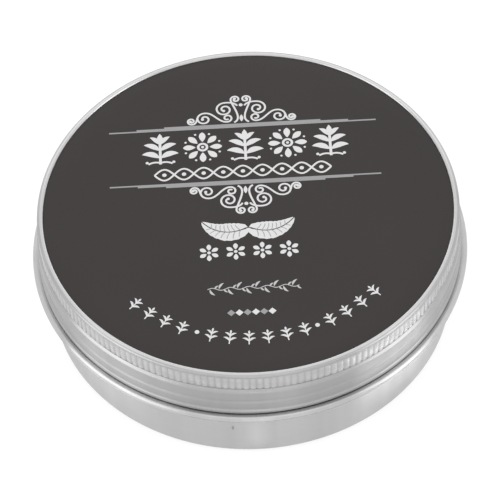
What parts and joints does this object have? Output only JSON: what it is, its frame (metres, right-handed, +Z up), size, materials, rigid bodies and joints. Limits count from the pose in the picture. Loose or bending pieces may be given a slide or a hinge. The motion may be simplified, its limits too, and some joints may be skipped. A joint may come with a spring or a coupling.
{
  "type": "shaving soap tin",
  "caption": "Low round aluminium tin with a knurled screw lid, a flat printed disc on the lid, a foam seal and a puck of shaving soap inside.",
  "frame": {"origin": "centre of the face the tin rests on, on the tin's axis", "axes": "+Z up along the tin's axis and the screw's axis, out through the lid; -Y is the front, from which the lid's print reads upright; +X to the right"},
  "size_m": [0.083, 0.083, 0.025],
  "materials": {
    "body_aluminium": "satin",
    "soap": "satin",
    "liner_foam": "matte",
    "lid_aluminium": "satin",
    "label_print": "matte"
  },
  "bodies": {
    "body": {"tin_body": "body_aluminium", "soap_puck": "soap"},
    "liner": {"lid_liner": "liner_foam"},
    "lid": {"lid_shell": "lid_aluminium", "lid_label": "label_print"}
  },
  "joints": [
    {"name": "lid_rise", "type": "slide", "parent": "body", "child": "liner", "axis": [0, 0, 1], "range_m": [0, 0.0151]},
    {"name": "lid_turn", "type": "hinge", "parent": "liner", "child": "lid", "pos_m": [0, 0, 0.024], "axis": [0, 0, 1], "range_deg": [0, 2250]}
  ],
  "couplings": [
    {"joint": "lid_rise", "follows": "lid_turn", "m_per_rad": 0.00038197}
  ]
}
